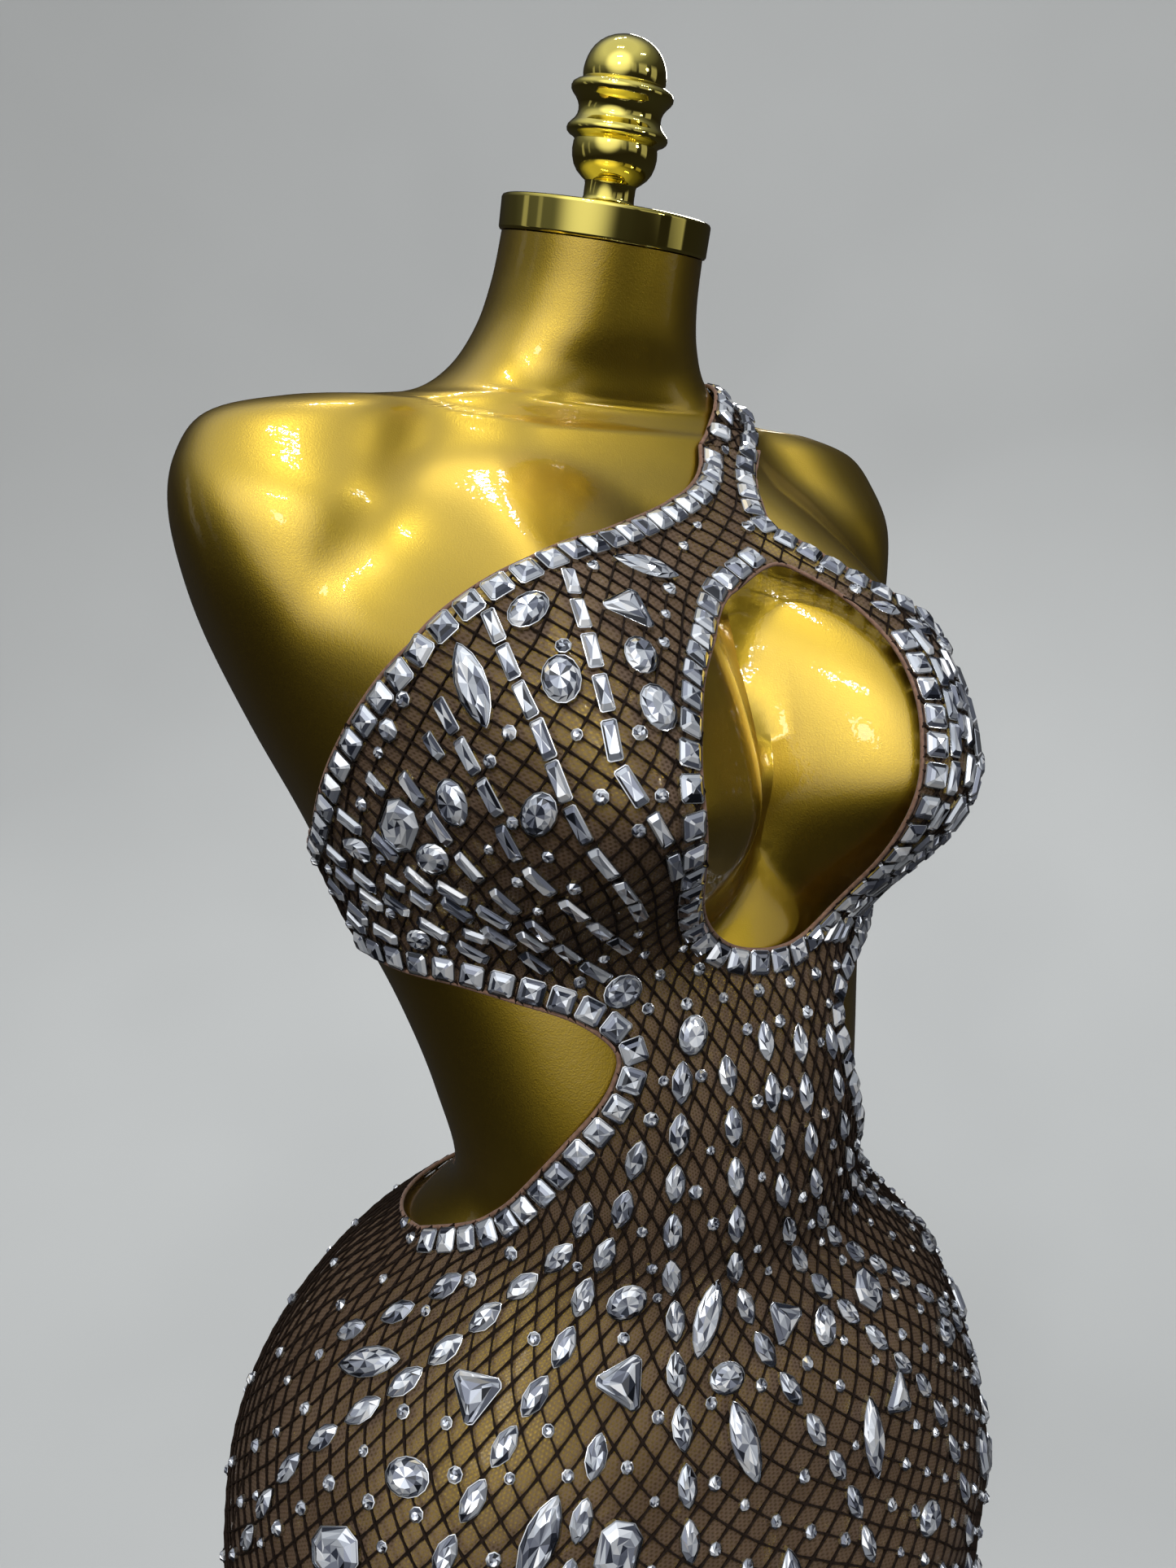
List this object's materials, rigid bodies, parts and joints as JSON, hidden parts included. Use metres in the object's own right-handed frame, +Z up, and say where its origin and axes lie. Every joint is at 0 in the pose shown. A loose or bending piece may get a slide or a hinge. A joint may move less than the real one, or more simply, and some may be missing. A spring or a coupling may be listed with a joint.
{
  "type": "crystal trimmed net mini dress on a limbless dress form",
  "caption": "Fitted one-shoulder net mini dress with a keyhole, waist cut-outs and crystal edges, worn on a limbless dress form on a round base.",
  "frame": {"origin": "centre of the base's underside, on the pole's axis", "axes": "+Z up along the pole; the form faces -Y, so +X is the figure's left side"},
  "size_m": [0.424, 0.424, 1.5148],
  "materials": {
    "gold_paint": "gold metallic flake lacquer under clear gloss",
    "gold_chrome": "polished gold plating",
    "net": "sheer brown mesh under dark fishnet",
    "crystal": "foil-backed faceted crystal in metal settings"
  },
  "bodies": {
    "root": {"form_torso": "gold_paint", "neck_cap": "gold_chrome", "finial": "gold_chrome", "under_plate": "gold_chrome", "pole": "gold_chrome", "pole_socket": "gold_chrome", "base_disc": "gold_chrome", "dress_front": "net", "dress_back_skirt": "net", "back_band": "net", "shoulder_strap": "net", "neckline_crystals": "crystal", "armhole_crystals": "crystal", "right_cutout_crystals": "crystal", "left_cutout_crystals": "crystal", "keyhole_crystals": "crystal", "strap_inner_crystals": "crystal", "strap_outer_crystals": "crystal"}
  },
  "joints": []
}
